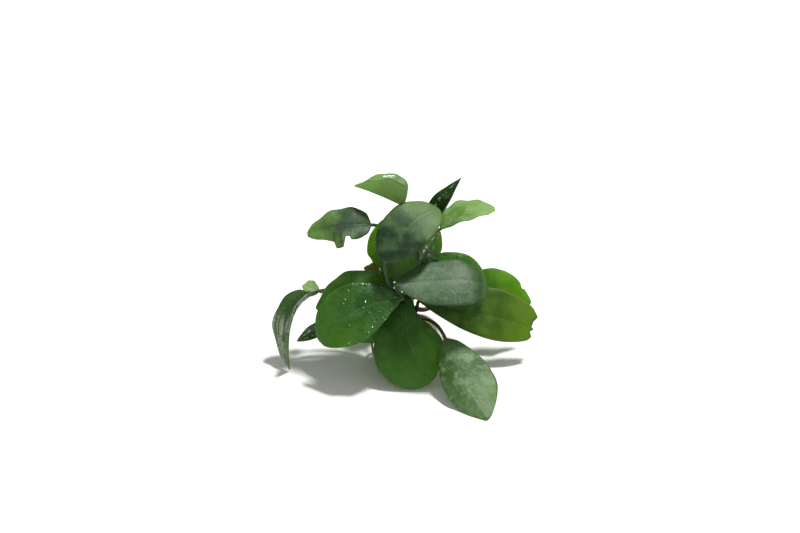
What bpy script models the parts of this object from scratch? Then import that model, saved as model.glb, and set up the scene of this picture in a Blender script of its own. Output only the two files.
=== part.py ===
"""Anubias on stone: a small water plant whose creeping rhizome grips a rounded stone.

Metres, +Z up. The origin is the centre of the stone's flat underside, +X runs along the
plant's longest spread and -Y is its front. Each leaf is one solid with its stalk, each root
is one solid, and the rhizome and the stone are one solid each.
"""

import math

import bmesh
import bpy
from mathutils import Vector

MM = 0.001
GAP = 0.35                      # clearance between pieces that touch on the real plant
FOOT_GAP = 0.6                  # the same at a leaf's foot, whose flat end meets a round stem

# stone
STONE_SIZE = (13.2, 10.5, 17.6)  # half length, half depth and full height
STONE_SQUARENESS = 2.5          # 2 is an ellipsoid, higher is boxier
STONE_SINK = 0.42               # how much of the height lies under the widest level
STONE_FLARE = 1.25              # the lower half is drawn taller by this before its flat cut
# swells of the stone: height as a share of its size, waves along x, y and z, and start
STONE_SWELLS = (
    (0.035, (3.1, 0, 1.3), 0.4),
    (0.03, (-2.2, 4.3, 0), 1.9),
    (0.02, (0, 3.0, 5.6), 0),
)
STONE_FINISH = ((0.20, 0.18, 0.155), 0.8)

# rhizome: points along its middle, with the radius there
RHIZOME = (
    ((-14.0, 3.5, 22.0), 2.9),
    ((-11.0, 3.0, 22.2), 3.6),
    ((-6.5, 2.0, 22.4), 3.9),
    ((-2.0, 1.4, 22.9), 4.0),
    ((0.6, 1.6, 25.6), 3.7),
    ((0.2, 2.4, 29.4), 3.1),
    ((-0.4, 2.8, 32.0), 1.9),
)
RHIZOME_STEPS = 24
RHIZOME_SIDES = 12
SCAR_PITCH = 2.6                # distance between the leaf scars
SCAR_DEPTH = 0.22
RHIZOME_SAMPLES = 100           # places tried along it for the one nearest to a leaf's foot
RHIZOME_FINISH = ((0.10, 0.13, 0.04), 0.5)

# leaves
BLADE_THICKNESS = 0.7
MARGIN_THICKNESS = 0.3
STALK_RADIUS = 0.75             # where the stalk meets the blade
SHEATH_RADIUS = 1.15            # where it leaves the rhizome
STALK_RINGS = 5
BLADE_RINGS = 8
HALF_POINTS = 3                 # points across each half of a blade
SHEATH_SHARE = 0.5              # share of the stalk over which it narrows from the sheath
MIDRIB_HANDLE = 0.36            # length of the midrib's bends, as a share of the blade
RIB_TAPER = 0.75                # how much of its depth the rib loses towards the tip
BLADE_START = 0.01              # the first and last ring, as shares of the midrib
BLADE_END = 0.995
RING_SPREAD = 1.1               # over 1, the rings lie closer together at the blade's base
FOOT_SQUARE = 0.6               # how far a foot turns square to the rhizome, 1 is fully
LEAST_CURL = 0.001
LEAF_FINISH = ((0.03, 0.10, 0.015), 0.3)

# base and tip of the blade, the way its upper face looks, the place where its stalk leaves
# the rhizome, and the blade's width. Angles are in degrees: rise and drop bend the midrib
# at the base and at the tip, sway bends it sideways, fold raises each half from the midrib
# and curl bends each half's outer edge. The side named right lies to the right when the
# leaf is seen from above with its tip pointing away.
LEAF_DEFAULTS = dict(
    rise=15, drop=20, sway=0, roll=0, foldLeft=8, foldRight=8, curlLeft=-20, curlRight=-20,
    widest=0.5, blunt=0.5, point=0.8, lean=0.0, grow=0.4, meet=0.35, leave=(0, 0, 0.5),
)

LEAVES = dict(
    leaf_top_left=dict(
        foot=(-1.5, 6.5, 26), base=(0, 20, 65.8), tip=(-21.5, 23, 73.6), face=(-0.1, 0.2, 1), width=25,
        rise=4, drop=4, foldLeft=62, foldRight=58, curlLeft=-10, curlRight=-25, widest=0.3, blunt=0.5,
        point=0.95, leave=(-0.2, 0.9, 0.4)),
    leaf_upper_left=dict(
        foot=(-5.5, 6, 25), base=(-14, 12, 60.5), tip=(-41.5, 11, 56), face=(0, -0.15, 1), width=18.5,
        rise=10, drop=14, foldLeft=2, foldRight=28, curlLeft=-30, curlRight=-30, widest=0.38,
        leave=(-0.2, 0.9, 0.6), blunt=0.5, point=0.55, lean=0.15),
    leaf_top_front=dict(
        foot=(-3, 0, 30), base=(-8, -5, 51.5), tip=(15.5, 17, 65), face=(0.15, -0.4, 0.9), width=22,
        rise=24, drop=32, curlLeft=-15, curlRight=-15, blunt=0.45, point=0.55, sway=-20, grow=0.4,
        meet=0.08, leave=(0.2, 0, 1)),
    leaf_young_centre=dict(
        foot=(0, 2, 34), base=(-2.2, 4.4, 36.7), tip=(-2, 6.9, 60.7), face=(0, -1, 0.2), width=17,
        rise=4, drop=6, foldLeft=10, foldRight=10, curlLeft=-5, curlRight=-5, widest=0.4, blunt=0.4),
    leaf_edge_left=dict(
        foot=(-3.5, 4.5, 30.5), base=(-8, 10, 39.9), tip=(-9, 11.5, 63.4), face=(-0.3, -1, 0.2),
        width=15, rise=5, drop=10, foldLeft=30, foldRight=8, curlLeft=10, curlRight=10),
    leaf_amber_small=dict(
        foot=(-8, 6, 25.5), base=(-10, 12, 36), tip=(-17.5, 13, 38.5), face=(0, -0.3, 1), width=6,
        rise=25, drop=40, foldLeft=15, foldRight=15, curlLeft=-10, curlRight=-10),
    leaf_left_back=dict(
        foot=(-6.5, 1, 26.5), base=(-7, 0.5, 39.7), tip=(-38, -1.5, 27), face=(0, -0.5, 1), width=24,
        rise=18, drop=26, roll=8, foldLeft=6, foldRight=6, curlLeft=-25, curlRight=-25),
    leaf_left_front=dict(
        foot=(-3, -2.5, 26), base=(-1.3, -8.4, 36.2), tip=(-35.5, -17, 19), face=(0, -1, 0.75),
        width=25.5, rise=15, drop=26, sway=24, foldLeft=14, foldRight=5, point=0.55, blunt=0.65,
        widest=0.55, curlLeft=-6, meet=0.06, leave=(-0.3, 0.2, 1), grow=0.45),
    leaf_centre_front=dict(
        foot=(3, -2.5, 23), base=(2.8, -2, 33.3), tip=(12.6, -24, 5), face=(0, -1, 0.6), width=30.5,
        rise=8, drop=20, sway=36, foldLeft=4, foldRight=4, point=0.5, lean=0.1, widest=0.6, blunt=0.95,
        meet=0.1),
    leaf_right_floor=dict(
        foot=(4.5, -0.5, 22.8), base=(17.5, -16, 20.8), tip=(34.8, -47.3, 0.8), face=(0, -0.3, 1),
        width=23, rise=-8, drop=-12, sway=2, foldLeft=0, foldRight=-8, curlLeft=-8, curlRight=-24,
        widest=0.52, leave=(0.8, 0.3, 0), lean=-0.16),
    leaf_right_sheen=dict(
        foot=(-0.4, -1.2, 31), base=(-3, -8, 43.3), tip=(35, -2, 36.2), face=(0.1, -0.5, 1), width=24,
        rise=5, drop=70, foldLeft=4, foldRight=4, meet=0.15, blunt=0.6, point=0.6),
    leaf_right_arch=dict(
        foot=(3.8, 3.8, 29), base=(9.5, 9.5, 43.6), tip=(36, 4, 33), face=(0, -1, 0.7), width=20,
        rise=26, drop=36, curlLeft=-25, curlRight=-25),
    leaf_right_back=dict(
        foot=(3.5, 5, 24), base=(24, 14, 25.9), tip=(56, 15, 19.9), face=(0, -0.95, 0.9), width=24,
        rise=22, drop=24, roll=10, foldLeft=5, foldRight=5, widest=0.45, leave=(0.9, -0.6, -0.6),
        grow=0.55, meet=0.4),
    leaf_right_torn=dict(
        foot=(4.5, 2, 23.5), base=(7, 2, 28.5), tip=(59, 3, 13.6), face=(0, -1, 0.75), width=22.4,
        rise=10, drop=10, foldLeft=5, foldRight=5, curlLeft=-15, curlRight=-15, widest=0.62, blunt=0.5,
        point=0.42, lean=-0.15),
    leaf_spike=dict(
        foot=(1.5, 6, 30), base=(13.5, 22.8, 55.8), tip=(24.8, 24.8, 76.9), face=(-0.5, -0.8, 0.4),
        width=17, rise=4, drop=4, foldLeft=42, foldRight=42, curlLeft=40, curlRight=40, widest=0.36,
        point=1.1, leave=(0.3, 0, 0.8)),
    leaf_top_right=dict(
        foot=(3, 5.5, 27), base=(16, 25, 51.5), tip=(40, 29, 58.7), face=(0, 0.1, 1), width=19, rise=24,
        drop=12, foldLeft=36, foldRight=32, curlLeft=-40, curlRight=-50, widest=0.45, point=0.5,
        lean=-0.15),
    leaf_dark_small=dict(
        foot=(2.5, 1, 31.5), base=(6.5, 8, 43.4), tip=(15.5, 8.4, 59.4), face=(-0.2, -1, 0.3),
        width=11.5, rise=8, drop=15, foldLeft=25, foldRight=25, curlLeft=-15, curlRight=-15),
    leaf_far_left=dict(
        foot=(-13, 6, 25), base=(-40, 9, 28), tip=(-49.5, -10, 0.8), face=(-1, -0.45, 0.3), width=19,
        rise=46, drop=26, foldLeft=30, foldRight=30, curlLeft=10, curlRight=10, widest=0.38, grow=0.3,
        meet=0.3, leave=(-0.5, 0.5, 0), point=1.1),
    leaf_small_pale=dict(
        foot=(-11, 6.5, 23), base=(-37, 14.2, 26.3), tip=(-44.5, 14.2, 28.8), face=(0, -0.6, 1),
        width=8, rise=8, drop=15, foldLeft=5, foldRight=5, curlLeft=-10, curlRight=-10, grow=0.3,
        leave=(-0.5, 1, 0)),
    leaf_dark_point=dict(
        foot=(-11, 0, 22.5), base=(-28, 1, 20.5), tip=(-46.5, -2, 10.5), face=(0, -1, 0.8), width=7,
        rise=6, drop=8, foldLeft=30, foldRight=30, curlLeft=-10, curlRight=-10),
    leaf_shaded_front=dict(
        foot=(-8.5, -1, 22.5), base=(-8.5, -4.5, 26.5), tip=(-20, -7, 13.5), face=(0, -1, 0.8),
        width=13, rise=12, drop=12, foldLeft=5, foldRight=5, curlLeft=-10, curlRight=-10),
    leaf_back_right=dict(
        foot=(0.5, 5.5, 22.5), base=(6, 13, 27), tip=(13, 42, 14), face=(0, 0.2, 1), width=23, rise=16,
        drop=22, sway=6, foldLeft=10, foldRight=10, leave=(0, 0.6, 0)),
    leaf_back_left=dict(
        foot=(-4, 6, 22), base=(-9, 15, 26), tip=(-21, 40, 12), face=(0, 0.2, 1), width=22, rise=16,
        drop=22, sway=-6, foldLeft=10, foldRight=10, leave=(0, 0.8, 0.2)),
)

# roots: where each leaves the rhizome, along its length from 0 to 1, the side of the stone
# that it runs down, in degrees from +X towards +Y, the turn that it makes on the way, its
# radius and how far out on the floor it ends
ROOT_SIDES = 6
ROOT_STEPS = 12
ROOT_TAPER = 0.45               # share of its radius that a root loses towards its end
ROOT_DIP = 0.62                 # how far below level a root's last touch on the stone lies
FLOOR_ROOM = 0.15               # room under a root that lies on the floor
BUMP_ROOM = 0.4                 # more clearance where the stone bulges
ROOT_SPLAY = 0.8                # how far a root leaves the rhizome sideways, for 1 downwards
ROOT_START = 0.5                # its first point lies this share of its radius further out
ROOT_SHARES = (0.22, 0.45, 0.68, 0.86, 1)  # shares of the way down that its points lie at
ROOT_FINISH = ((0.22, 0.17, 0.08), 0.6)
ROOTS = dict(
    root_left=dict(along=0.02, side=188, turn=-6, radius=0.65, reach=1.5),
    root_left_front=dict(along=0.24, side=240, turn=6, radius=0.75, reach=3.0),
    root_front=dict(along=0.38, side=264, turn=6, radius=0.7, reach=0.8),
    root_right_front=dict(along=0.5, side=305, turn=-10, radius=0.8, reach=1.0),
    root_right=dict(along=0.52, side=352, turn=12, radius=0.6, reach=1.0),
    root_right_back=dict(along=0.46, side=30, turn=-5, radius=0.75, reach=5.0),
    root_back=dict(along=0.32, side=95, turn=6, radius=0.7, reach=6.0),
    root_left_back=dict(along=0.06, side=136, turn=12, radius=0.75, reach=4.0),
)


def clear_scene():
    for thing in list(bpy.data.objects):
        bpy.data.objects.remove(thing)


def material(name, colour, roughness):
    made = bpy.data.materials.new(name)
    made.use_nodes = True
    shader = made.node_tree.nodes["Principled BSDF"]
    shader.inputs["Base Color"].default_value = (*colour, 1)
    shader.inputs["Roughness"].default_value = roughness
    shader.inputs["Metallic"].default_value = 0
    return made


def add_object(name, shape, finish):
    bmesh.ops.recalc_face_normals(shape, faces=shape.faces)
    bmesh.ops.scale(shape, vec=(MM, MM, MM), verts=shape.verts)
    mesh = bpy.data.meshes.new(name)
    shape.to_mesh(mesh)
    shape.free()
    mesh.shade_smooth()
    mesh.materials.append(finish)
    made = bpy.data.objects.new(name, mesh)
    bpy.context.scene.collection.objects.link(made)
    return made


def loft(rings):
    """A closed body through rings that all have the same number of points."""
    shape = bmesh.new()
    loops = [[shape.verts.new(point) for point in ring] for ring in rings]
    count = len(rings[0])
    for one, other in zip(loops, loops[1:]):
        for i in range(count):
            j = (i + 1) % count
            shape.faces.new((one[i], one[j], other[j], other[i]))
    shape.faces.new(loops[0])
    shape.faces.new(loops[-1])
    return shape


def bezier(points, t):
    """Place and direction at t on the cubic curve with these four points."""
    a, b, c, d = points
    u = 1 - t
    place = a * u**3 + b * (3 * u * u * t) + c * (3 * u * t * t) + d * t**3
    way = (b - a) * (u * u) + (c - b) * (2 * u * t) + (d - c) * (t * t)
    return place, way.normalized()


def through(points, t):
    """A smooth curve through the points, which may be vectors or numbers, t from 0 to 1."""
    spans = len(points) - 1
    i = min(int(t * spans), spans - 1)
    u = t * spans - i
    before, start = points[max(i - 1, 0)], points[i]
    end, after = points[i + 1], points[min(i + 2, spans)]
    return (
        start * (2 * u**3 - 3 * u * u + 1)
        + end * (3 * u * u - 2 * u**3)
        + (end - before) * (0.5 * (u**3 - 2 * u * u + u))
        + (after - start) * (0.5 * (u**3 - u * u))
    )


# the stone

def stone_point(way):
    """The point of the stone's surface in this direction from its middle."""
    half_x, half_y, height = STONE_SIZE
    low = height * STONE_SINK
    half_z = height - low if way.z > 0 else low * STONE_FLARE
    power = STONE_SQUARENESS
    size = (
        abs(way.x / half_x) ** power + abs(way.y / half_y) ** power + abs(way.z / half_z) ** power
    ) ** (-1 / power)
    swell = sum(
        share * math.sin(way.dot(Vector(waves)) + start) for share, waves, start in STONE_SWELLS
    )
    return Vector((0, 0, low)) + way * (size * (1 + swell))


def make_stone():
    shape = bmesh.new()
    bmesh.ops.create_icosphere(shape, subdivisions=3, radius=1)
    for vert in shape.verts:
        vert.co = stone_point(vert.co.normalized())
    cut = bmesh.ops.bisect_plane(
        shape,
        geom=shape.verts[:] + shape.edges[:] + shape.faces[:],
        plane_co=(0, 0, 0),
        plane_no=(0, 0, 1),
        clear_inner=True,
    )
    rim = [part for part in cut["geom_cut"] if isinstance(part, bmesh.types.BMEdge)]
    bmesh.ops.edgeloop_fill(shape, edges=rim)
    return add_object("stone", shape, material("stone", *STONE_FINISH))


# the rhizome

def rhizome_at(t):
    places = [Vector(place) for place, radius in RHIZOME]
    radii = [radius for place, radius in RHIZOME]
    step = 0.01
    here = through(places, t)
    ahead = through(places, min(t + step, 1)) - through(places, max(t - step, 0))
    return here, ahead.normalized(), through(radii, t)


def ring(centre, way, aside, radius, sides):
    """A round ring square to the way; aside is a direction across the way."""
    up = way.cross(aside).normalized()
    across = up.cross(way)
    turns = [2 * math.pi * i / sides for i in range(sides)]
    return [centre + (across * math.cos(a) + up * math.sin(a)) * radius for a in turns]


def make_rhizome():
    rings = []
    length = 0
    last = None
    for i in range(RHIZOME_STEPS + 1):
        centre, way, radius = rhizome_at(i / RHIZOME_STEPS)
        length += (centre - last).length if last else 0
        last = centre
        scar = (length / SCAR_PITCH) % 1
        radius -= SCAR_DEPTH * (1 - scar)
        rings.append(ring(centre, way, Vector((0, -1, 0)), radius, RHIZOME_SIDES))
    return add_object("rhizome", loft(rings), material("rhizome", *RHIZOME_FINISH))


def on_rhizome(near):
    """The point of the rhizome's surface nearest to this one, and the way out of it there."""
    samples = [rhizome_at(i / RHIZOME_SAMPLES) for i in range(RHIZOME_SAMPLES + 1)]
    centre, way, radius = min(samples, key=lambda sample: (sample[0] - near).length)
    out = near - centre
    out = (out - way * out.dot(way) * FOOT_SQUARE).normalized()
    return centre + out * (radius + FOOT_GAP), out


# the leaves

def midrib(leaf):
    """The midrib's four control points and the blade's sideways direction."""
    base, tip = Vector(leaf["base"]), Vector(leaf["tip"])
    along = (tip - base).normalized()
    side = along.cross(Vector(leaf["face"])).normalized()
    up = side.cross(along)
    reach = (tip - base).length * MIDRIB_HANDLE

    def bent(pitch, yaw):
        pitch, yaw = math.radians(pitch), math.radians(yaw)
        flat = along * math.cos(yaw) + side * math.sin(yaw)
        return (flat * math.cos(pitch) + up * math.sin(pitch)).normalized() * reach

    start = base + bent(leaf["rise"], leaf["sway"])
    end = tip - bent(-leaf["drop"], -leaf["sway"])
    return (base, start, end, tip), side


def blade_frame(leaf, t):
    """Place, direction, upper face and right-hand side of the blade at t along it."""
    points, side = midrib(leaf)
    place, way = bezier(points, t)
    up = side.cross(way).normalized()
    side = way.cross(up)
    roll = math.radians(leaf["roll"])
    up = up * math.cos(roll) + side * math.sin(roll)
    return place, way, up, way.cross(up)


def half_width(leaf, t):
    power = math.log(0.5) / math.log(leaf["widest"])
    t = min(max(t, 1e-6), 1 - 1e-6)
    shape = leaf["blunt"] + (leaf["point"] - leaf["blunt"]) * t
    return leaf["width"] / 2 * math.sin(math.pi * t**power) ** shape


def across_blade(leaf, s, half):
    """Sideways and upward shift at s across the blade, from -1 on the left to 1."""
    right = s > 0
    fold = math.radians(leaf["foldRight" if right else "foldLeft"])
    curl = math.radians(leaf["curlRight" if right else "curlLeft"])
    curl = curl if abs(curl) > LEAST_CURL else LEAST_CURL
    turned = fold + curl * abs(s)
    half = half * (1 + leaf["lean"] * (1 if right else -1))
    sideways = (math.sin(turned) - math.sin(fold)) / curl * half
    upward = (math.cos(fold) - math.cos(turned)) / curl * half
    return math.copysign(sideways, s), upward


def blade_ring(leaf, t):
    place, way, up, side = blade_frame(leaf, t)
    half = max(half_width(leaf, t), STALK_RADIUS * (1 - t))
    rib = STALK_RADIUS * (1 - RIB_TAPER * t)
    steps = [i / HALF_POINTS for i in range(-HALF_POINTS, HALF_POINTS + 1)]
    top, under = [], []
    for s in steps:
        sideways, upward = across_blade(leaf, s, half)
        middle = place + side * sideways + up * upward
        thick = MARGIN_THICKNESS + (BLADE_THICKNESS - MARGIN_THICKNESS) * (1 - abs(s))
        top.append(middle + up * (thick / 2))
        if abs(s) < 1:
            deep = max(thick / 2, rib if s == 0 else 0)
            under.append(middle - up * deep)
    top[0] -= up * (MARGIN_THICKNESS / 2)
    top[-1] -= up * (MARGIN_THICKNESS / 2)
    return top + under[::-1]


def stalk_ring(place, way, up, radius):
    """A round ring whose points match those of a blade's ring."""
    side = way.cross(up).normalized()
    up = side.cross(way).normalized()
    count = 2 * HALF_POINTS
    turns = [math.pi - math.pi * i / count for i in range(2 * count)]
    return [place + side * math.cos(a) * radius + up * math.sin(a) * radius for a in turns]


def make_leaf(name, values, finish):
    leaf = {**LEAF_DEFAULTS, **values}
    base, way, up, _ = blade_frame(leaf, 0)
    foot, out = on_rhizome(Vector(leaf["foot"]))
    leave = (out + Vector(leaf["leave"])).normalized()
    span = (base - foot).length
    curve = (foot, foot + leave * span * leaf["grow"], base - way * span * leaf["meet"], base)
    rings = []
    for i in range(STALK_RINGS):
        t = i / STALK_RINGS
        place, heading = bezier(curve, t)
        radius = SHEATH_RADIUS + (STALK_RADIUS - SHEATH_RADIUS) * min(1, t / SHEATH_SHARE)
        rings.append(stalk_ring(place, heading, up, radius))
    for i in range(BLADE_RINGS + 1):
        share = (i / BLADE_RINGS) ** RING_SPREAD
        rings.append(blade_ring(leaf, BLADE_START + (BLADE_END - BLADE_START) * share))
    return add_object(name, loft(rings), finish)


# the roots

def root_path(root):
    """Out of the rhizome's underside, down over the stone and out on the floor."""
    centre, way, radius = rhizome_at(root["along"])
    lift = root["radius"] + GAP + BUMP_ROOM
    side = math.radians(root["side"])
    outward = Vector((math.cos(side), math.sin(side), 0))
    below = outward * ROOT_SPLAY - Vector((0, 0, 1))
    below = (below - way * below.dot(way)).normalized()
    start = centre + below * (radius + GAP + root["radius"] * ROOT_START)
    middle = Vector((0, 0, STONE_SIZE[2] * STONE_SINK))
    begin = (start - middle).normalized()
    end = (outward - Vector((0, 0, ROOT_DIP))).normalized()
    sideways = Vector((-math.sin(side), math.cos(side), 0))
    points = [start]
    for share in ROOT_SHARES:
        wander = sideways * math.sin(share * math.pi) * math.radians(root["turn"])
        place = stone_point((begin.lerp(end, share) + wander).normalized())
        place += (place - middle).normalized() * lift
        place.z = max(place.z, root["radius"] + FLOOR_ROOM)
        points.append(place)
    points.append(points[-1] + outward * root["reach"])
    return points


def make_root(name, root, finish):
    points = root_path(root)
    side = math.radians(root["side"])
    sideways = Vector((-math.sin(side), math.cos(side), 0))
    step = 0.02
    rings = []
    for i in range(ROOT_STEPS + 1):
        t = i / ROOT_STEPS
        centre = through(points, t)
        ahead = through(points, min(t + step, 1)) - through(points, max(t - step, 0))
        radius = root["radius"] * (1 - ROOT_TAPER * t)
        rings.append(ring(centre, ahead.normalized(), sideways, radius, ROOT_SIDES))
    return add_object(name, loft(rings), finish)


def main():
    clear_scene()
    make_stone()
    make_rhizome()
    for name, values in LEAVES.items():
        make_leaf(name, values, material(name, *LEAF_FINISH))
    for name, root in ROOTS.items():
        make_root(name, root, material(name, *ROOT_FINISH))


main()
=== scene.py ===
import math

import bpy
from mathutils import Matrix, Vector, noise


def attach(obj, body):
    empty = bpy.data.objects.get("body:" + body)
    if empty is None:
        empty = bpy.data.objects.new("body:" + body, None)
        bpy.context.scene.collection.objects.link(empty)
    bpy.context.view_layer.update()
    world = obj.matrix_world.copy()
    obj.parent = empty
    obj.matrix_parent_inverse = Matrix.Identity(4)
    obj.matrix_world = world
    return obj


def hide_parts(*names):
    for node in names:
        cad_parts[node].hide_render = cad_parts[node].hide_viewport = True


mm = 0.001
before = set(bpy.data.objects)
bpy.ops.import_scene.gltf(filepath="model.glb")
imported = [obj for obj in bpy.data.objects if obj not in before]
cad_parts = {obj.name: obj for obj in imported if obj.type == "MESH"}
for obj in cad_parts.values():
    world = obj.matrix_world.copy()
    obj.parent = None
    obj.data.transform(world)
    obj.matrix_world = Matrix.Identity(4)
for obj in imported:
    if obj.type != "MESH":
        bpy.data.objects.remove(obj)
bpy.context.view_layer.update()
root = "root"


# helpers that shape grids

def deselectAll():
    if bpy.context.mode != "OBJECT":
        bpy.ops.object.mode_set(mode="OBJECT")
    bpy.ops.object.select_all(action="DESELECT")


def wrapGrid(name, around, along, shape):
    # a grid rolled into a closed skin: shape gives the place in mm for a share round and a share along
    deselectAll()
    bpy.ops.mesh.primitive_grid_add(x_subdivisions=around, y_subdivisions=along, size=1)
    made = bpy.context.active_object
    made.name = made.data.name = name
    made.data.uv_layers[0].name = "skin"
    for vert in made.data.vertices:
        vert.co = shape(vert.co.x + 0.5, vert.co.y + 0.5) * mm
    bpy.ops.object.mode_set(mode="EDIT")
    bpy.ops.mesh.select_all(action="SELECT")
    bpy.ops.mesh.remove_doubles(threshold=0.00001)
    bpy.ops.mesh.fill_holes(sides=0)
    bpy.ops.mesh.select_all(action="SELECT")
    bpy.ops.mesh.normals_make_consistent(inside=False)
    bpy.ops.object.mode_set(mode="OBJECT")
    bpy.ops.object.shade_smooth()
    return made


def handOver(piece, finish, slot, *nodes):
    # the finish, the body that the piece rides on and the CAD nodes that it stands for
    piece.data.materials.clear()
    piece.data.materials.append(finish)
    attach(piece, root)
    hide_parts(*nodes)
    deselectAll()


def bezier(points, t):
    a, b, c, d = points
    u = 1 - t
    place = a * u**3 + b * (3 * u * u * t) + c * (3 * u * t * t) + d * t**3
    way = (b - a) * (u * u) + (c - b) * (2 * u * t) + (d - c) * (t * t)
    return place, way.normalized()


def through(points, t):
    # a smooth curve through points or numbers, t from 0 to 1
    spans = len(points) - 1
    i = min(int(t * spans), spans - 1)
    u = t * spans - i
    before, start = points[max(i - 1, 0)], points[i]
    end, after = points[i + 1], points[min(i + 2, spans)]
    return (
        start * (2 * u**3 - 3 * u * u + 1)
        + end * (3 * u * u - 2 * u**3)
        + (end - before) * (0.5 * (u**3 - 2 * u * u + u))
        + (after - start) * (0.5 * (u**3 - u * u))
    )


def smooth(low, high, x):
    x = min(max((x - low) / (high - low), 0), 1)
    return x * x * (3 - 2 * x)


def ripple(x, y, seed):
    # smooth noise from -1 to 1
    return noise.noise(Vector((x, y, seed)))


# helpers that build materials

class Wire:
    # a node's socket, on which sums can be written

    def __init__(self, paint, socket):
        self.paint = paint
        self.socket = socket

    def maths(self, operation, *others):
        values = dict(enumerate((self, *others)))
        return self.paint.node("ShaderNodeMath", {"operation": operation}, values)

    def __add__(self, other):
        return self.maths("ADD", other)

    def __radd__(self, other):
        return self.maths("ADD", other)

    def __sub__(self, other):
        return self.maths("SUBTRACT", other)

    def __rsub__(self, other):
        return self.paint.node("ShaderNodeMath", {"operation": "SUBTRACT"}, {0: other, 1: self})

    def __mul__(self, other):
        return self.maths("MULTIPLY", other)

    def __rmul__(self, other):
        return self.maths("MULTIPLY", other)

    def __truediv__(self, other):
        return self.maths("DIVIDE", other)

    def __pow__(self, other):
        return self.maths("POWER", other)

    def __abs__(self):
        return self.maths("ABSOLUTE")


class Paint:
    # one material and its nodes

    def __init__(self, name):
        self.material = bpy.data.materials.new(name)
        self.material.use_nodes = True
        self.tree = self.material.node_tree
        self.tree.nodes.clear()

    def node(self, kind, settings=None, values=None, out=0):
        made = self.tree.nodes.new(kind)
        for name, value in (settings or {}).items():
            if name == "stops":
                self.setStops(made.color_ramp, value)
            else:
                setattr(made, name, value)
        for name, value in (values or {}).items():
            socket = made.inputs[name]
            if isinstance(value, Wire):
                self.tree.links.new(value.socket, socket)
            elif socket.type == "RGBA" and len(value) == 3:
                socket.default_value = (*value, 1)
            else:
                socket.default_value = value
        return Wire(self, made.outputs[out])

    def setStops(self, ramp, stops):
        while len(ramp.elements) < len(stops):
            ramp.elements.new(1)
        for element, (place, colour) in zip(ramp.elements, stops):
            element.position = place
            element.color = (*colour, 1)

    def span(self, value, low, high, first=0.0, last=1.0):
        # value from low to high becomes first to last, with soft ends
        return self.node(
            "ShaderNodeMapRange", {"interpolation_type": "SMOOTHSTEP"},
            {0: value, 1: low, 2: high, 3: first, 4: last})

    def mix(self, share, a, b):
        return self.node("ShaderNodeMix", {"data_type": "RGBA"}, {0: share, 6: a, 7: b}, out=2)

    def noise(self, place, scale, detail=2.0, roughness=0.5):
        return self.node("ShaderNodeTexNoise", {}, {
            "Vector": place, "Scale": scale, "Detail": detail, "Roughness": roughness})

    def cells(self, place, scale, feature="F1"):
        return self.node("ShaderNodeTexVoronoi", {"feature": feature}, {"Vector": place, "Scale": scale})

    def objectPlace(self):
        return self.node("ShaderNodeTexCoord", out="Object")

    def skinPlace(self):
        # the two directions of the piece's own map: round it and along it
        uv = self.node("ShaderNodeUVMap", {"uv_map": "skin"})
        split = {"Vector": uv}
        return (self.node("ShaderNodeSeparateXYZ", {}, split, out=0),
                self.node("ShaderNodeSeparateXYZ", {}, split, out=1))

    def bump(self, height, distance, normal=None):
        values = {"Height": height, "Distance": distance}
        if normal:
            values["Normal"] = normal
        return self.node("ShaderNodeBump", {}, values)

    def finish(self, shader):
        output = self.tree.nodes.new("ShaderNodeOutputMaterial")
        self.tree.links.new(shader.socket, output.inputs["Surface"])
        return self.material


# the leaves: a blade and its stalk are one skin. Places are in mm, angles in degrees.
# rise, drop and sway bend the midrib, fold raises each half from it and curl bends the
# half's outer edge. wave is the height of the margin's ripple. tears holds notches and
# flaps of the margin: side, place along, depth as a share of the half width, and length.

leafDefaults = dict(
    rise=15, drop=20, sway=0, roll=0, foldLeft=8, foldRight=8, curlLeft=-20, curlRight=-20,
    widest=0.5, blunt=0.5, point=0.8, lean=0.0, grow=0.4, meet=0.35, leave=(0, 0, 0.5),
    wave=0.35, waves=3.0, pleats=0.0, tears=(), ragged=0.0, tone="deep", wet=0.3)

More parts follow.
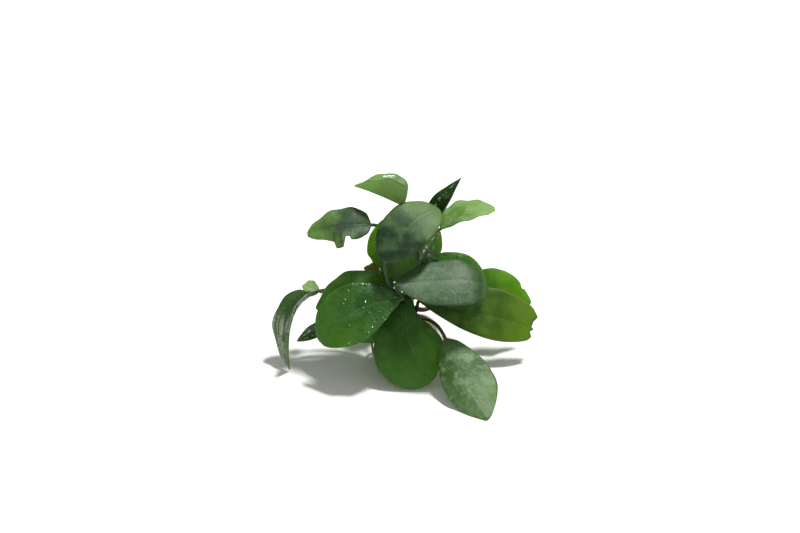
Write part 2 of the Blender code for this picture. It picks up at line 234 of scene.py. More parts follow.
leaves = dict(
    leaf_top_left=dict(
        foot=(-1.5, 6.5, 26), base=(0, 20, 65.8), tip=(-21.5, 23, 73.6), face=(-0.1, 0.2, 1), width=25,
        rise=4, drop=4, foldLeft=62, foldRight=58, curlLeft=-10, curlRight=-25, widest=0.3, blunt=0.5,
        point=0.95, leave=(-0.2, 0.9, 0.4), tone="banded"),
    leaf_upper_left=dict(
        foot=(-5.5, 6, 25), base=(-14, 12, 60.5), tip=(-41.5, 11, 56), face=(0, -0.15, 1), width=18.5,
        rise=10, drop=14, foldLeft=2, foldRight=28, curlLeft=-30, curlRight=-30, widest=0.38,
        leave=(-0.2, 0.9, 0.6), tone="blue", blunt=0.5, point=0.55,
        tears=((-1, 0.5, -0.5, 0.1), (-1, 0.36, 0.22, 0.05)), lean=0.15),
    leaf_top_front=dict(
        foot=(-3, 0, 30), base=(-8, -5, 51.5), tip=(15.5, 17, 65), face=(0.15, -0.4, 0.9), width=22,
        rise=24, drop=32, curlLeft=-15, curlRight=-15, blunt=0.45, point=0.55, sway=-20, grow=0.4,
        meet=0.08, leave=(0.2, 0, 1), tone="blue", wet=0.1),
    leaf_young_centre=dict(
        foot=(0, 2, 34), base=(-2.2, 4.4, 36.7), tip=(-2, 6.9, 60.7), face=(0, -1, 0.2), width=17,
        rise=4, drop=6, foldLeft=10, foldRight=10, curlLeft=-5, curlRight=-5, widest=0.4, tone="olive",
        blunt=0.4),
    leaf_edge_left=dict(
        foot=(-3.5, 4.5, 30.5), base=(-8, 10, 39.9), tip=(-9, 11.5, 63.4), face=(-0.3, -1, 0.2),
        width=15, rise=5, drop=10, foldLeft=30, foldRight=8, curlLeft=10, curlRight=10, tone="fresh"),
    leaf_amber_small=dict(
        foot=(-8, 6, 25.5), base=(-10, 12, 36), tip=(-17.5, 13, 38.5), face=(0, -0.3, 1), width=6,
        rise=25, drop=40, foldLeft=15, foldRight=15, curlLeft=-10, curlRight=-10, tone="amber"),
    leaf_left_back=dict(
        foot=(-6.5, 1, 26.5), base=(-7, 0.5, 39.7), tip=(-38, -1.5, 27), face=(0, -0.5, 1), width=24,
        rise=18, drop=26, roll=8, foldLeft=6, foldRight=6, curlLeft=-25, curlRight=-25),
    leaf_left_front=dict(
        foot=(-3, -2.5, 26), base=(-1.3, -8.4, 36.2), tip=(-35.5, -17, 19), face=(0, -1, 0.75),
        width=25.5, rise=15, drop=26, sway=24, foldLeft=14, foldRight=5, point=0.55, wet=1.0,
        blunt=0.65, widest=0.55, curlLeft=-6, meet=0.06, leave=(-0.3, 0.2, 1), grow=0.45),
    leaf_centre_front=dict(
        foot=(3, -2.5, 23), base=(2.8, -2, 33.3), tip=(12.6, -24, 5), face=(0, -1, 0.6), width=30.5,
        rise=8, drop=20, sway=36, foldLeft=4, foldRight=4, point=0.5, lean=0.1, widest=0.6, blunt=0.95,
        meet=0.1),
    leaf_right_floor=dict(
        foot=(4.5, -0.5, 22.8), base=(17.5, -16, 20.8), tip=(34.8, -47.3, 0.8), face=(0, -0.3, 1),
        width=23, rise=-8, drop=-12, sway=2, foldLeft=0, foldRight=-8, curlLeft=-8, curlRight=-24,
        widest=0.52, leave=(0.8, 0.3, 0), lean=-0.16, tone="mottled", wet=0.2),
    leaf_right_sheen=dict(
        foot=(-0.4, -1.2, 31), base=(-3, -8, 43.3), tip=(35, -2, 36.2), face=(0.1, -0.5, 1), width=24,
        rise=5, drop=70, foldLeft=4, foldRight=4, meet=0.15, tone="sheen", blunt=0.6, point=0.6,
        wet=0.2),
    leaf_right_arch=dict(
        foot=(3.8, 3.8, 29), base=(9.5, 9.5, 43.6), tip=(36, 4, 33), face=(0, -1, 0.7), width=20,
        rise=26, drop=36, curlLeft=-25, curlRight=-25, wet=0.9),
    leaf_right_back=dict(
        foot=(3.5, 5, 24), base=(24, 14, 25.9), tip=(56, 15, 19.9), face=(0, -0.95, 0.9), width=24,
        rise=22, drop=24, roll=10, foldLeft=5, foldRight=5, widest=0.45, tone="fresh",
        tears=((-1, 0.84, 0.14, 0.03),), leave=(0.9, -0.6, -0.6), grow=0.55, meet=0.4),
    leaf_right_torn=dict(
        foot=(4.5, 2, 23.5), base=(7, 2, 28.5), tip=(59, 3, 13.6), face=(0, -1, 0.75), width=22.4,
        rise=10, drop=10, foldLeft=5, foldRight=5, curlLeft=-15, curlRight=-15, widest=0.62, blunt=0.5,
        point=0.42, ragged=0.12, tone="torn", lean=-0.15),
    leaf_spike=dict(
        foot=(1.5, 6, 30), base=(13.5, 22.8, 55.8), tip=(24.8, 24.8, 76.9), face=(-0.5, -0.8, 0.4),
        width=17, rise=4, drop=4, foldLeft=42, foldRight=42, curlLeft=40, curlRight=40, widest=0.36,
        point=1.1, leave=(0.3, 0, 0.8), wet=1.0, tone="spike"),
    leaf_top_right=dict(
        foot=(3, 5.5, 27), base=(16, 25, 51.5), tip=(40, 29, 58.7), face=(0, 0.1, 1), width=19, rise=24,
        drop=12, foldLeft=36, foldRight=32, curlLeft=-40, curlRight=-50, widest=0.45, tone="pale",
        point=0.5, lean=-0.15),
    leaf_dark_small=dict(
        foot=(2.5, 1, 31.5), base=(6.5, 8, 43.4), tip=(15.5, 8.4, 59.4), face=(-0.2, -1, 0.3),
        width=11.5, rise=8, drop=15, foldLeft=25, foldRight=25, curlLeft=-15, curlRight=-15, wet=0.9,
        tone="shaded"),
    leaf_far_left=dict(
        foot=(-13, 6, 25), base=(-40, 9, 28), tip=(-49.5, -10, 0.8), face=(-1, -0.45, 0.3), width=19,
        rise=46, drop=26, foldLeft=30, foldRight=30, curlLeft=10, curlRight=10, widest=0.38, grow=0.3,
        meet=0.3, leave=(-0.5, 0.5, 0), point=1.1, wet=1.0, pleats=0.3, tone="hanging"),
    leaf_small_pale=dict(
        foot=(-11, 6.5, 23), base=(-37, 14.2, 26.3), tip=(-44.5, 14.2, 28.8), face=(0, -0.6, 1),
        width=8, rise=8, drop=15, foldLeft=5, foldRight=5, curlLeft=-10, curlRight=-10, grow=0.3,
        leave=(-0.5, 1, 0), tone="pale"),
    leaf_dark_point=dict(
        foot=(-11, 0, 22.5), base=(-28, 1, 20.5), tip=(-46.5, -2, 10.5), face=(0, -1, 0.8), width=7,
        rise=6, drop=8, foldLeft=30, foldRight=30, curlLeft=-10, curlRight=-10, tone="spike"),
    leaf_shaded_front=dict(
        foot=(-8.5, -1, 22.5), base=(-8.5, -4.5, 26.5), tip=(-20, -7, 13.5), face=(0, -1, 0.8),
        width=13, rise=12, drop=12, foldLeft=5, foldRight=5, curlLeft=-10, curlRight=-10),
    leaf_back_right=dict(
        foot=(0.5, 5.5, 22.5), base=(6, 13, 27), tip=(13, 42, 14), face=(0, 0.2, 1), width=23,
        rise=16, drop=22, sway=6, foldLeft=10, foldRight=10, leave=(0, 0.6, 0)),
    leaf_back_left=dict(
        foot=(-4, 6, 22), base=(-9, 15, 26), tip=(-21, 40, 12), face=(0, 0.2, 1), width=22,
        rise=16, drop=22, sway=-6, foldLeft=10, foldRight=10, leave=(0, 0.8, 0.2)),
)

leafSkin = dict(
    around=56, along=104,       # faces round and along
    stalkShare=0.2,             # share of the skin's length that is the stalk
    thick=0.62, marginThick=0.2, marginStart=0.9,
    bladeStart=0.005, bladeShare=0.985,
    stalkRadius=0.75, sheathRadius=1.15, sheathLength=0.3,
    ribDepth=0.75, grooveDepth=0.22, grooveWidth=0.07,
    veins=15, veinSweep=0.3,    # side veins along the blade, and how far they run forward
    joinLength=0.06,            # share of the blade over which the stalk widens into it
    handle=0.36,                # length of the midrib's bends, as a share of the blade
    channel=0.22, quilt=0.015,  # the stalk's groove, and the swelling between side veins
)

rhizome = dict(
    route=(((-14.0, 3.5, 22.0), 2.9), ((-11.0, 3.0, 22.2), 3.6), ((-6.5, 2.0, 22.4), 3.9),
           ((-2.0, 1.4, 22.9), 4.0), ((0.6, 1.6, 25.6), 3.7), ((0.2, 2.4, 29.4), 3.1),
           ((-0.4, 2.8, 32.0), 1.9)),
    length=34, scarPitch=2.6, scarDepth=0.22, scarRings=13, lump=0.16, footGap=0.6,
    around=60, along=130)

rhizomePlaces = [Vector(place) for place, radius in rhizome["route"]]
rhizomeRadii = [radius for place, radius in rhizome["route"]]


def rhizomeAt(t):
    here = through(rhizomePlaces, t)
    ahead = through(rhizomePlaces, min(t + 0.01, 1)) - through(rhizomePlaces, max(t - 0.01, 0))
    return here, ahead.normalized(), through(rhizomeRadii, t)


def onRhizome(near):
    # the point of the rhizome's surface nearest to this one, and the way out of it there
    samples = [rhizomeAt(i / 100) for i in range(101)]
    centre, way, radius = min(samples, key=lambda sample: (sample[0] - near).length)
    out = near - centre
    out = (out - way * out.dot(way) * 0.6).normalized()
    return centre + out * (radius + rhizome["footGap"]), out


def leafCurves(leaf):
    # the four control points of the stalk and of the midrib, and the blade's side
    base, tip = Vector(leaf["base"]), Vector(leaf["tip"])
    along = (tip - base).normalized()
    side = along.cross(Vector(leaf["face"])).normalized()
    up = side.cross(along)
    reach = (tip - base).length * leafSkin["handle"]

    def bent(pitch, yaw):
        pitch, yaw = math.radians(pitch), math.radians(yaw)
        flat = along * math.cos(yaw) + side * math.sin(yaw)
        return (flat * math.cos(pitch) + up * math.sin(pitch)).normalized() * reach

    rib = (base, base + bent(leaf["rise"], leaf["sway"]), tip - bent(-leaf["drop"], -leaf["sway"]), tip)
    way = bezier(rib, 0)[1]
    foot, out = onRhizome(Vector(leaf["foot"]))
    leave = (out + Vector(leaf["leave"])).normalized()
    span = (base - foot).length
    stalk = (foot, foot + leave * span * leaf["grow"], base - way * span * leaf["meet"], base)
    return stalk, rib, side


def bladeFrame(leaf, rib, side, t):
    place, way = bezier(rib, t)
    up = side.cross(way).normalized()
    side = way.cross(up)
    roll = math.radians(leaf["roll"])
    up = up * math.cos(roll) + side * math.sin(roll)
    return place, way, up, way.cross(up)


def halfWidth(leaf, t):
    power = math.log(0.5) / math.log(leaf["widest"])
    t = min(max(t, 1e-6), 1 - 1e-6)
    shape = leaf["blunt"] + (leaf["point"] - leaf["blunt"]) * t
    return leaf["width"] / 2 * math.sin(math.pi * t**power) ** shape


def acrossBlade(leaf, s, half):
    # sideways and upward shift at s across the blade, from -1 on the left to 1
    right = s > 0
    fold = math.radians(leaf["foldRight" if right else "foldLeft"])
    curl = math.radians(leaf["curlRight" if right else "curlLeft"])
    curl = curl if abs(curl) > 0.001 else 0.001
    turned = fold + curl * abs(s)
    half = half * (1 + leaf["lean"] * (1 if right else -1))
    sideways = (math.sin(turned) - math.sin(fold)) / curl * half
    upward = (math.cos(fold) - math.cos(turned)) / curl * half
    return math.copysign(sideways, s), upward


def tearAt(leaf, t, side):
    # the share of the half width that is missing there, or added where it is negative
    lost = 0
    for where, place, depth, length in leaf["tears"]:
        if where == side:
            lost += depth * smooth(1, 0.55, abs(t - place) / length)
    return lost


def makeLeaf(name, values, seed):
    leaf = {**leafDefaults, **values}
    stalk, rib, bladeSide = leafCurves(leaf)
    skin = leafSkin
    start = bladeFrame(leaf, rib, bladeSide, 0)

    def stalkPlace(turn, t):
        place, way = bezier(stalk, t)
        side = way.cross(start[2]).normalized()
        up = side.cross(way).normalized()
        radius = skin["sheathRadius"] + (skin["stalkRadius"] - skin["sheathRadius"]) * smooth(
            0, skin["sheathLength"] * 1.6, t)
        angle = math.pi - 2 * math.pi * turn
        channel = 1 - skin["channel"] * max(0, math.sin(angle)) ** 3
        return place + (side * math.cos(angle) + up * math.sin(angle) * channel) * radius

    def bladePlace(turn, t):
        s = 1 - 4 * abs(turn - 0.5)
        under = turn > 0.5
        where = 1 if s > 0 else -1
        t = t * (1 - leaf["ragged"] * (0.5 + ripple(s * 3.1, t * 2, seed)) * smooth(0.55, 1, t))
        place, way, up, side = bladeFrame(leaf, rib, bladeSide, t)
        half = max(halfWidth(leaf, t), skin["stalkRadius"] * (1 - t))
        half *= 1 - tearAt(leaf, t, where) + 0.012 * ripple(t * 9, where * 2, seed)
        sideways, upward = acrossBlade(leaf, s, half)
        edge = abs(s) ** 2.5 * smooth(0, 0.25, t) * smooth(1, 0.8, t)
        wave = leaf["wave"] * edge * math.sin(2 * math.pi * leaf["waves"] * t + seed * 1.7 + where)
        wave += leaf["wave"] * edge * 1.6 * ripple(t * 4, where * 3, seed + 5)
        quilt = skin["quilt"] * math.sin(2 * math.pi * veinPhase(s, t))
        quilt *= smooth(0, 0.2, abs(s)) * (1 - edge)
        pleat = leaf["pleats"] * math.cos(3.5 * math.pi * s) * smooth(0, 0.3, t) * smooth(1, 0.7, t)
        middle = place + side * sideways + up * (upward + wave + quilt + pleat)
        thick = skin["marginThick"] + (skin["thick"] - skin["marginThick"]) * (1 - abs(s)) ** 0.7
        close = skin["grooveWidth"]
        hollow = math.exp(-((s / close) ** 2)) * smooth(1, 0.85, t)
        fade = 1 - 0.75 * t
        if under:
            ribDepth = skin["ribDepth"] * fade * math.exp(-((s / (close * 1.2)) ** 2))
            return middle - up * max(thick / 2 * roundedMargin(s), ribDepth)
        return middle + up * (thick / 2 * roundedMargin(s) - skin["grooveDepth"] * hollow * fade)

    def place(turn, v):
        share = skin["stalkShare"]
        if v < share:
            return stalkPlace(turn, v / share)
        t = (v - share) / (1 - share)
        onBlade = bladePlace(turn, skin["bladeShare"] * t**1.05 + skin["bladeStart"])
        if t < skin["joinLength"]:
            return stalkPlace(turn, 1).lerp(onBlade, smooth(0, skin["joinLength"], t))
        return onBlade

    return wrapGrid(name, skin["around"], skin["along"], place)


def roundedMargin(s):
    # the blade's section closes in a half round at the margins
    start = leafSkin["marginStart"]
    return math.sqrt(max(0, 1 - max(0, (abs(s) - start) / (1 - start)) ** 2))


def veinPhase(s, t):
    return leafSkin["veins"] * (t - leafSkin["veinSweep"] * abs(s) ** 1.25)


# each tone: the blade's dark and light greens, the light that comes through it, the paler
# underside, the margin and the stalk, then the colour of a grey painted sheen (a painted reflection
# of the lamp), with streak and the patch strength for how strongly it lies in lines and in patches,
# and sparse how much of the blade it leaves bare. gloss is the specular level and share the part of the
# light that passes through.
leafTones = dict(
    # deep: the pale margin is partly the rim's own colour and partly a painted glint along the rim
    deep=dict(dark=(0.019, 0.086, 0.008), light=(0.056, 0.165, 0.012), through=(0.42, 0.76, 0.05),
              under=(0.08, 0.17, 0.04), margin=(0.09, 0.15, 0.05), stalk=(0.04, 0.08, 0.02),
              streak=0.12, sparse=0.5, sheenMottle=0.25, paintedSheen=(0.12, 0.22, 0.10), gloss=0.36, share=0.38),
    # blue: on top of the leaf's own green, the near-black foot is painted shade and the bright tip painted
    # light
    blue=dict(dark=(0.005, 0.026, 0.008), light=(0.125, 0.235, 0.055), through=(0.40, 0.66, 0.14),
              under=(0.08, 0.17, 0.05), margin=(0.06, 0.12, 0.04), stalk=(0.03, 0.07, 0.02),
              streak=0.25, sparse=0.5, sheenMottle=0.2, rib=0.1, paintedSheen=(0.17, 0.27, 0.14),
              gloss=0.4, share=0.34),
    # sheen: its tip colour is darker than its foot colour, painted shade where the blade's end turns from
    # the light
    sheen=dict(dark=(0.045, 0.105, 0.038), light=(0.010, 0.046, 0.005), through=(0.36, 0.62, 0.08),
               under=(0.08, 0.17, 0.05), margin=(0.03, 0.07, 0.02), stalk=(0.03, 0.07, 0.02),
               streak=0.2, sparse=0.46, sheenMottle=0.55, paintedSheenTo=0.85, paintedSheen=(0.15, 0.235, 0.13),
               gloss=0.48, share=0.26),
    mottled=dict(dark=(0.030, 0.096, 0.012), light=(0.105, 0.200, 0.060), through=(0.40, 0.68, 0.12),
                 under=(0.08, 0.17, 0.05), margin=(0.08, 0.08, 0.04), stalk=(0.08, 0.05, 0.025),
                 streak=0.25, sparse=0.46, sheenMottle=0.9, paintedSheen=(0.21, 0.32, 0.17),
                 gloss=0.48, share=0.36),
    fresh=dict(dark=(0.028, 0.092, 0.006), light=(0.062, 0.150, 0.007), through=(0.46, 0.78, 0.04),
               under=(0.11, 0.22, 0.04), margin=(0.06, 0.07, 0.02), stalk=(0.07, 0.045, 0.02),
               streak=0.2, sparse=0.5, sheenMottle=0.15, paintedSheen=(0.13, 0.24, 0.06), gloss=0.3, share=0.46),
    torn=dict(dark=(0.010, 0.052, 0.005), light=(0.120, 0.210, 0.010), through=(0.44, 0.70, 0.04),
              under=(0.11, 0.22, 0.04), margin=(0.14, 0.13, 0.03), stalk=(0.07, 0.045, 0.02),
              streak=0.15, sparse=0.5, sheenMottle=0.15, paintedSheen=(0.10, 0.19, 0.06), gloss=0.3, share=0.30),
    pale=dict(dark=(0.085, 0.190, 0.026), light=(0.270, 0.380, 0.160), through=(0.50, 0.78, 0.14),
              under=(0.22, 0.34, 0.13), margin=(0.10, 0.12, 0.05), stalk=(0.08, 0.15, 0.03),
              streak=0.5, sparse=0.5, sheenMottle=0.3, paintedSheen=(0.40, 0.50, 0.32), gloss=0.4, share=0.42),
    # banded: the upper half is painted paler, a painted sheen where it faces the light
    banded=dict(dark=(0.085, 0.190, 0.026), light=(0.120, 0.240, 0.030), through=(0.50, 0.78, 0.14),
                under=(0.22, 0.34, 0.13), margin=(0.10, 0.12, 0.05), stalk=(0.08, 0.15, 0.03),
                streak=0.3, sparse=0.5, sheenMottle=0.1, band=0.75, paintedSheen=(0.44, 0.54, 0.37), gloss=0.4,
                share=0.34),
    olive=dict(dark=(0.026, 0.072, 0.009), light=(0.070, 0.150, 0.012), through=(0.46, 0.72, 0.05),
               under=(0.09, 0.17, 0.04), margin=(0.06, 0.08, 0.02), stalk=(0.05, 0.09, 0.02),
               streak=0.6, sparse=0.5, sheenMottle=0.1, paintedSheen=(0.10, 0.19, 0.05), gloss=0.3, share=0.44),
    amber=dict(dark=(0.080, 0.090, 0.012), light=(0.170, 0.170, 0.020), through=(0.50, 0.50, 0.05),
               under=(0.14, 0.15, 0.03), margin=(0.12, 0.07, 0.02), stalk=(0.09, 0.09, 0.02),
               streak=0.3, sparse=0.5, sheenMottle=0.3, paintedSheen=(0.26, 0.24, 0.08), gloss=0.4, share=0.42),
    # spike and shaded: near-white streaks and a row of white dots are painted glints of light on water
    spike=dict(dark=(0.020, 0.064, 0.012), light=(0.034, 0.095, 0.020), through=(0.30, 0.55, 0.06),
               under=(0.02, 0.05, 0.02), margin=(0.015, 0.025, 0.015), stalk=(0.05, 0.10, 0.02),
               streak=0.6, sparse=0.52, sheenMottle=0, glintRow=0.42, paintedSheen=(0.70, 0.76, 0.66),
               gloss=0.5, share=0.26),
    shaded=dict(dark=(0.018, 0.062, 0.008), light=(0.070, 0.150, 0.030), through=(0.40, 0.70, 0.05),
                under=(0.06, 0.14, 0.03), margin=(0.03, 0.06, 0.02), stalk=(0.05, 0.10, 0.02),
                streak=1.4, sparse=0.6, sheenMottle=0.1, glintRow=0.25, paintedSheen=(0.50, 0.58, 0.44),
                gloss=0.5, share=0.38),
    hanging=dict(dark=(0.026, 0.085, 0.010), light=(0.110, 0.165, 0.080), through=(0.36, 0.60, 0.10),
                 under=(0.08, 0.15, 0.05), margin=(0.012, 0.018, 0.012), stalk=(0.10, 0.12, 0.05),
                 streak=2.0, sparse=0.42, sheenMottle=0.0, paintedSheenFrom=0.36, paintedSheen=(0.46, 0.52, 0.42),
                 gloss=0.5, share=0.30),
)


# unless a tone says otherwise: where along the blade the painted sheen starts and ends, how much of
# it bands the upper half as painted sheen, how far out a row of painted glints of water drops lies (0 for
# none), and the midrib's paleness
toneDefaults = dict(paintedSheenFrom=0, paintedSheenTo=1.5, band=0, glintRow=0, rib=0.3)

# scales are noise cells to a metre, heights are in metres
leafLook = dict(
    patchScale=130, puckerScale=380, grainScale=900, cellScale=1500, streakCount=46, streakLength=2.6,
    filmScale=110, glintScale=620, glintColour=(0.82, 0.86, 0.80), skinHeight=0.00011,
    beadScale=430, beadRoom=0.44, beadHeight=0.00045, gatherScale=300, runScale=620,
    smoothest=0.48, roughest=0.6, stalkRoughness=0.8, filmCoat=0.35, beadCoat=0.65, coatRoughness=0.07)


def leafPaint(tone, wet):
    paint = Paint("leaf_%s_%d" % (tone, round(wet * 10)))
    colours = {**toneDefaults, **leafTones[tone]}
    skin, look = leafSkin, leafLook
    place = paint.objectPlace()
    turn, v = paint.skinPlace()
    s = abs(1 - 4 * abs(turn - 0.5))
    t = (v - skin["stalkShare"]) / (1 - skin["stalkShare"])
    under = paint.node("ShaderNodeMath", {"operation": "GREATER_THAN"}, {0: turn, 1: 0.5})
    blade = paint.span(t, 0.0, skin["joinLength"])
    patches = paint.noise(place, look["patchScale"], 3)
    puckers = paint.noise(place, look["puckerScale"], 3)
    grain = paint.noise(place, look["grainScale"], 3)
    cells = paint.cells(place, look["cellScale"])
    stretched = {0: turn * look["streakCount"], 1: v * look["streakLength"]}
    streaks = paint.noise(paint.node("ShaderNodeCombineXYZ", {}, stretched), 1, 3)

    # side veins, the midrib and the margin
    phase = (t - s**1.25 * skin["veinSweep"] + (patches - 0.5) * 0.12) * skin["veins"]
    between = abs(phase.maths("FRACT") - 0.5) * 2
    vein = between**7 * paint.span(s, 0.04, 0.12) * paint.span(s, 1.0, 0.8)
    rib = paint.span(s, 0.05, 0.012) * blade
    margin = paint.span(s + (grain - 0.5) * 0.06, 0.955, 0.99) * blade
    tipward = paint.span(t + (patches - 0.5) * 0.8 + s * 0.12, 0.35, 1.0)

    # darker at the foot, lighter at the tip and in patches
    green = paint.mix(tipward, colours["dark"], colours["light"])
    green = paint.mix(paint.span(patches, 0.4, 0.75, 0, 0.3), green, colours["light"])
    green = paint.mix(cells * 0.4 * paint.span(grain, 0.3, 0.7), green, colours["dark"])

    # the painted grey sheen, a painted reflection of the lamp, in patches, in a band and in streaks
    paintedSheenFrom, paintedSheenTo = colours["paintedSheenFrom"], colours["paintedSheenTo"]
    lasting = paint.span(t, paintedSheenFrom, paintedSheenFrom + 0.25) * paint.span(t, paintedSheenTo, paintedSheenTo - 0.2)
    sheenMottle = paint.span(patches + (puckers - 0.5) * 0.9 + (grain - 0.5) * 0.5, 0.4, 0.75)
    green = paint.mix(sheenMottle * lasting * colours["sheenMottle"], green, colours["paintedSheen"])
    # the upper half lighter: painted sheen where the blade faces the light
    if colours["band"]:
        upper = paint.span(turn + (patches - 0.5) * 0.05, 0.27, 0.22)
        green = paint.mix(upper * colours["band"], green, colours["paintedSheen"])
    sparse = colours["sparse"]
    lines = paint.span(streaks + (grain - 0.5) * 0.3, sparse, sparse + 0.2)
    lines = lines * paint.span(patches + (puckers - 0.5) * 0.5, sparse - 0.1, sparse + 0.1)
    green = paint.mix(lines * lasting * colours["streak"], green, colours["paintedSheen"])

    # a row of painted white glints of light on water drops along the upper side, then the veins, the
    # underside and the margin
    if colours["glintRow"]:
        row = paint.span(abs(s + (patches - 0.5) * 0.3 - colours["glintRow"]), 0.1, 0.05)
        paintedGlints = paint.span(paint.cells(place, look["glintScale"]), 0.5, 0.36) * row * paint.span(t, 0.1, 0.2)
        green = paint.mix(paintedGlints * (1 - under), green, look["glintColour"])
    green = paint.mix(vein * 0.12 + rib * colours["rib"], green, colours["under"])
    green = paint.mix(under * (tipward * 0.5 + 0.4), green, colours["under"])
    green = paint.mix(margin * 0.7, green, colours["margin"])
    colour = paint.mix(blade, colours["stalk"], green)

    # wet film towards the base, with small beads of water
    wetPlace = paint.noise(place, look["filmScale"], 2) + paint.span(t, 0.1, 0.8, 0.12, -0.12)
    film = paint.span(wetPlace, 0.66 - wet * 0.25, 0.74 - wet * 0.22) * blade
    height = cells * 0.12 + grain * 0.35 - vein * 0.35 + between * 0.12 + puckers * 1.3
    normal = paint.bump(height * blade, look["skinHeight"])
    bead = 0
    if wet > 0.5:
        dome = (1 - (paint.cells(place, look["beadScale"]) / look["beadRoom"]) ** 2).maths("MAXIMUM", 0)
        gathered = paint.span(paint.noise(place, look["gatherScale"], 1) + (wetPlace - 0.5), 0.47, 0.52)
        bead = paint.span(dome * gathered, 0.0, 0.12)
        run = film * paint.noise(place, look["runScale"], 2)
        normal = paint.bump(dome * gathered + run * 0.5, look["beadHeight"] * wet, normal)

    matt = paint.span(
        patches + (puckers - 0.5) * 0.5, 0.3, 0.7, look["smoothest"], look["roughest"])
    matt = matt * blade + (1 - blade) * look["stalkRoughness"]
    glossy = paint.node("ShaderNodeBsdfPrincipled", {}, {
        "Base Color": colour,
        "Roughness": matt - bead * 0.4 - film * wet * 0.25,
        "Specular IOR Level": colours["gloss"],
        "Coat Weight": film * look["filmCoat"] * wet + bead * look["beadCoat"],
        "Coat Roughness": look["coatRoughness"],
        "Normal": normal})
    through = paint.node("ShaderNodeBsdfTranslucent", {}, {"Color": colours["through"], "Normal": normal})
    share = blade * colours["share"] * (tipward * 0.45 + 0.72) * (1 - rib * 0.6) * (1 - margin * 0.5)
    return paint.finish(paint.node("ShaderNodeMixShader", {}, {0: share, 1: glossy, 2: through}))


paleLeaves = (
    "leaf_top_left", "leaf_top_right", "leaf_small_pale", "leaf_amber_small", "leaf_edge_left",
    "leaf_young_centre")
leafPaints = {}
for seed, (name, values) in enumerate(leaves.items()):
    settings = {**leafDefaults, **values}
    key = settings["tone"], settings["wet"]
    if key not in leafPaints:
        leafPaints[key] = leafPaint(*key)
    piece = makeLeaf(name + "_fine", values, seed)
    handOver(piece, leafPaints[key], "leaf_pale" if name in paleLeaves else "leaf", name)
print("leaves done:", len(leaves))


# the rhizome

def makeRhizome():
    settings = rhizome

    def place(turn, t):
        centre, way, radius = rhizomeAt(t)
        up = way.cross(Vector((0, -1, 0))).normalized()
        across = up.cross(way)
        angle = 2 * math.pi * turn
        spoke = across * math.cos(angle) + up * math.sin(angle)
        length = t * settings["length"] + 0.5 * math.sin(angle + t * 9)
        scar = (length / settings["scarPitch"]) % 1
        lump = settings["lump"] * ripple(math.cos(angle) * 1.4 + t * 9, math.sin(angle) * 1.4, 3)
        radius += lump - settings["scarDepth"] * (1 - scar) ** 2 - 0.05
        radius *= math.sqrt(max(0.04, 1 - max(0, (abs(t - 0.5) - 0.47) / 0.03) ** 2))
        return centre + spoke * radius

    return wrapGrid("rhizome_fine", settings["around"], settings["along"], place)


def rhizomePaint():
    paint = Paint("rhizome_skin")
    place = paint.objectPlace()
    turn, t = paint.skinPlace()
    patches = paint.noise(place, 260, 4)
    fibre = paint.noise(place, 1600, 3)
    rings = abs((t * rhizome["scarRings"] + (patches - 0.5) * 0.3).maths("FRACT") - 0.5) * 2
    scar = rings**5
    green = paint.mix(paint.span(patches, 0.35, 0.7), (0.05, 0.10, 0.02), (0.12, 0.17, 0.045))
    colour = paint.mix(scar * 0.8, green, (0.10, 0.06, 0.03))
    colour = paint.mix(paint.span(fibre, 0.55, 0.75, 0, 0.5), colour, (0.20, 0.15, 0.08))
    normal = paint.bump(fibre * 0.5 - scar + patches * 0.4, 0.0002)
    return paint.finish(paint.node("ShaderNodeBsdfPrincipled", {}, {
        "Base Color": colour, "Roughness": 0.5 + fibre * 0.2, "Coat Weight": 0.3, "Normal": normal}))


handOver(makeRhizome(), rhizomePaint(), "rhizome", "rhizome")
print("rhizome done")


# the stone, half lengths and full height in mm

stone = dict(
    size=(13.2, 10.5, 17.6), squareness=2.5, sink=0.42, flare=1.25, subdivisions=6,
    roughness=0.22, pits=0.2, inset=0.1)


def stonePoint(way):
    halfX, halfY, height = stone["size"]
    low = height * stone["sink"]
    halfZ = height - low if way.z > 0 else low * stone["flare"]
    power = stone["squareness"]
    spread = abs(way.x / halfX) ** power + abs(way.y / halfY) ** power + abs(way.z / halfZ) ** power
    size = spread ** (-1 / power)
    swell = (
        0.035 * math.sin(3.1 * way.x + 1.3 * way.z + 0.4)
        + 0.03 * math.sin(4.3 * way.y - 2.2 * way.x + 1.9)
        + 0.02 * math.sin(5.6 * way.z + 3.0 * way.y)
    )
    return Vector((0, 0, low)) + way * (size * (1 + swell))


def makeStone():
    deselectAll()
    bpy.ops.mesh.primitive_ico_sphere_add(subdivisions=stone["subdivisions"], radius=1)
    made = bpy.context.active_object
    made.name = made.data.name = "stone_fine"
    for vert in made.data.vertices:
        way = vert.co.normalized()
        rough = stone["roughness"] * noise.fractal(way * 3.2, 0.9, 2.1, 5)
        rough -= stone["pits"] * max(0, noise.noise(way * 7.5)) ** 2
        vert.co = (stonePoint(way) + way * (rough - stone["inset"])) * mm
    bpy.ops.object.mode_set(mode="EDIT")
    bpy.ops.mesh.select_all(action="SELECT")
    bpy.ops.mesh.bisect(
        plane_co=(0, 0, 0), plane_no=(0, 0, 1), clear_inner=True, use_fill=True, threshold=1e-7)
    bpy.ops.object.mode_set(mode="OBJECT")
    bpy.ops.object.shade_smooth()
    bpy.ops.object.shade_smooth_by_angle(angle=math.radians(50))
    return made


